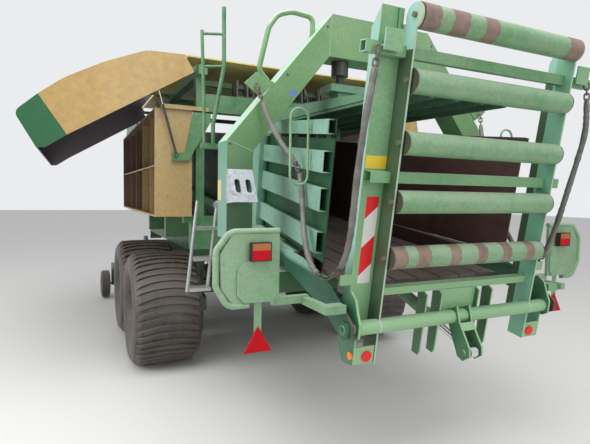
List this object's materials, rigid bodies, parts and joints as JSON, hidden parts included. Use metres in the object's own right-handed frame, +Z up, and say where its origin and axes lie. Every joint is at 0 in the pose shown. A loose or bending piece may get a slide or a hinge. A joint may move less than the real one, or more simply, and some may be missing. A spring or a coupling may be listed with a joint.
{
  "type": "large square baler",
  "caption": "Towed large square baler with tandem wheels, a folded roller bale chute, twine boxes under lifting hoods, a pickup reel and a parking jack",
  "frame": {"origin": "centre of the tow eye", "axes": "+X to the machine's right, seen from behind; +Y the way it is towed; +Z up, along the tow eye's hole"},
  "size_m": [3.9704, 8.7731, 3.0401],
  "materials": {
    "green": "gloss",
    "light_green": "matte",
    "dark_green": "matte",
    "cream": "matte",
    "hood": "matte",
    "steel": "matte",
    "zinc": "matte",
    "chrome": "polished",
    "iron": "matte",
    "black": "matte",
    "rim": "matte",
    "tyre": "matte",
    "sleeve": "matte",
    "chock": "matte",
    "lamp": "gloss"
  },
  "bodies": {
    "machine": {"chamber_floor": "steel", "chamber_left_wall": "green", "chamber_right_wall": "green", "chamber_roof": "green", "main_frame": "dark_green", "body_frame": "green", "yoke": "green", "press_cylinders": "green", "tandem_axle": "dark_green", "drawbar": "dark_green", "tow_eye": "iron", "left_light_board": "light_green", "right_light_board": "light_green", "rear_lamps": "lamp", "left_twine_box": "cream", "right_twine_box": "cream", "roof_cover": "hood", "knotter_unit": "iron", "rear_ladder": "zinc", "handrails": "green", "chain_guides": "zinc", "wheel_chock": "chock", "left_chain": "sleeve", "right_chain": "sleeve", "plunger_housing": "green", "gearbox": "iron", "flywheel_guard": "green", "front_side_covers": "green", "rotor_housing": "dark_green"},
    "chute": {"chute_frame": "green", "chute_reflectors": "lamp"},
    "chute_cylinder": {"chute_cylinder_barrel": "green"},
    "chute_rod": {"chute_cylinder_rod": "chrome"},
    "left_hood": {"left_hood": "hood"},
    "right_hood": {"right_hood": "hood"},
    "left_strut": {"left_strut_tube": "black"},
    "left_strut_rod": {"left_strut_rod": "chrome"},
    "right_strut": {"right_strut_tube": "black"},
    "right_strut_rod": {"right_strut_rod": "chrome"},
    "jack": {"jack_foot": "zinc"},
    "pickup": {"pickup_frame": "dark_green"},
    "reel": {"pickup_reel": "steel"},
    "left_gauge_wheel": {"left_gauge_wheel": "tyre"},
    "right_gauge_wheel": {"right_gauge_wheel": "tyre"},
    "flywheel": {"flywheel": "iron"},
    "chute_roller_1": {"chute_roller_1": "green"},
    "chute_roller_2": {"chute_roller_2": "green"},
    "chute_roller_3": {"chute_roller_3": "green"},
    "chute_roller_4": {"chute_roller_4": "green"},
    "chute_roller_5": {"chute_roller_5": "green"},
    "left_rear_wheel": {"left_rear_tyre": "tyre", "left_rear_rim": "rim"},
    "left_front_wheel": {"left_front_tyre": "tyre", "left_front_rim": "rim"},
    "right_rear_wheel": {"right_rear_tyre": "tyre", "right_rear_rim": "rim"},
    "right_front_wheel": {"right_front_tyre": "tyre", "right_front_rim": "rim"}
  },
  "joints": [
    {"name": "chute_fold", "type": "hinge", "parent": "machine", "child": "chute", "pos_m": [0, -8.41, 0.46], "axis": [1, 0, 0], "range_deg": [0, 85], "deforming": ["left_chain", "right_chain"]},
    {"name": "chute_roller_1_turn", "type": "hinge", "parent": "chute", "child": "chute_roller_1", "pos_m": [0, -8.65214, 1.97173], "axis": [1, 0, 0], "continuous": true},
    {"name": "chute_roller_2_turn", "type": "hinge", "parent": "chute", "child": "chute_roller_2", "pos_m": [0, -8.60616, 1.68469], "axis": [1, 0, 0], "continuous": true},
    {"name": "chute_roller_3_turn", "type": "hinge", "parent": "chute", "child": "chute_roller_3", "pos_m": [0, -8.56019, 1.39765], "axis": [1, 0, 0], "continuous": true},
    {"name": "chute_roller_4_turn", "type": "hinge", "parent": "chute", "child": "chute_roller_4", "pos_m": [0, -8.51421, 1.11061], "axis": [1, 0, 0], "continuous": true},
    {"name": "chute_roller_5_turn", "type": "hinge", "parent": "chute", "child": "chute_roller_5", "pos_m": [0, -8.46823, 0.82357], "axis": [1, 0, 0], "continuous": true},
    {"name": "chute_cylinder_swing", "type": "hinge", "parent": "machine", "child": "chute_cylinder", "pos_m": [0, -7.7, 0.57], "axis": [1, 0, 0], "range_deg": [0, 2.95]},
    {"name": "chute_cylinder_stroke", "type": "slide", "parent": "chute_cylinder", "child": "chute_rod", "axis": [0, -0.9414, -0.3372], "range_m": [-0.27574, 0]},
    {"name": "left_hood_lift", "type": "hinge", "parent": "machine", "child": "left_hood", "pos_m": [-1.12, -4.925, 2.24], "axis": [0, 1, 0], "range_deg": [-55, 0]},
    {"name": "left_strut_swing", "type": "hinge", "parent": "machine", "child": "left_strut", "pos_m": [-1.187, -6.31, 1.459], "axis": [0, 1, 0], "range_deg": [0, 29.48]},
    {"name": "left_strut_stroke", "type": "slide", "parent": "left_strut", "child": "left_strut_rod", "axis": [-0.2643, 0, 0.9644], "range_m": [-0.09352, 0]},
    {"name": "left_rear_wheel_turn", "type": "hinge", "parent": "machine", "child": "left_rear_wheel", "pos_m": [-1.2, -5.6, -0.005], "axis": [1, 0, 0], "continuous": true},
    {"name": "left_front_wheel_turn", "type": "hinge", "parent": "machine", "child": "left_front_wheel", "pos_m": [-1.2, -4.38, -0.005], "axis": [1, 0, 0], "continuous": true},
    {"name": "left_gauge_wheel_turn", "type": "hinge", "parent": "pickup", "child": "left_gauge_wheel", "pos_m": [-1.53, -2.35, -0.338], "axis": [1, 0, 0], "continuous": true},
    {"name": "right_hood_lift", "type": "hinge", "parent": "machine", "child": "right_hood", "pos_m": [1.12, -4.925, 2.24], "axis": [0, -1, 0], "range_deg": [0, 55]},
    {"name": "right_strut_swing", "type": "hinge", "parent": "machine", "child": "right_strut", "pos_m": [1.187, -6.31, 1.459], "axis": [0, -1, 0], "range_deg": [-29.48, 0]},
    {"name": "right_strut_stroke", "type": "slide", "parent": "right_strut", "child": "right_strut_rod", "axis": [-0.2445, 0, 0.9696], "range_m": [0, 0.09352]},
    {"name": "right_rear_wheel_turn", "type": "hinge", "parent": "machine", "child": "right_rear_wheel", "pos_m": [1.2, -5.6, -0.005], "axis": [1, 0, 0], "continuous": true},
    {"name": "right_front_wheel_turn", "type": "hinge", "parent": "machine", "child": "right_front_wheel", "pos_m": [1.2, -4.38, -0.005], "axis": [1, 0, 0], "continuous": true},
    {"name": "right_gauge_wheel_turn", "type": "hinge", "parent": "pickup", "child": "right_gauge_wheel", "pos_m": [1.53, -2.35, -0.338], "axis": [1, 0, 0], "continuous": true},
    {"name": "jack_slide", "type": "slide", "parent": "machine", "child": "jack", "axis": [0, 0, 1], "range_m": [0, 0.4]},
    {"name": "pickup_lift", "type": "hinge", "parent": "machine", "child": "pickup", "pos_m": [0, -3.3, 0.44], "axis": [1, 0, 0], "range_deg": [0, 18]},
    {"name": "pickup_reel_turn", "type": "hinge", "parent": "pickup", "child": "reel", "pos_m": [0, -2.87, -0.14], "axis": [1, 0, 0], "continuous": true},
    {"name": "flywheel_turn", "type": "hinge", "parent": "machine", "child": "flywheel", "pos_m": [0, -1.54, 0.84], "axis": [0, 1, 0], "continuous": true}
  ],
  "couplings": [
    {"joint": "chute_cylinder_swing", "follows": "chute_fold", "ratio": 0.034668},
    {"joint": "chute_cylinder_stroke", "follows": "chute_fold", "m_per_rad": -0.18587},
    {"joint": "left_strut_swing", "follows": "left_hood_lift", "ratio": -0.53598},
    {"joint": "left_strut_stroke", "follows": "left_hood_lift", "m_per_rad": 0.097413},
    {"joint": "right_strut_swing", "follows": "right_hood_lift", "ratio": -0.53598},
    {"joint": "right_strut_stroke", "follows": "right_hood_lift", "m_per_rad": 0.097413}
  ]
}
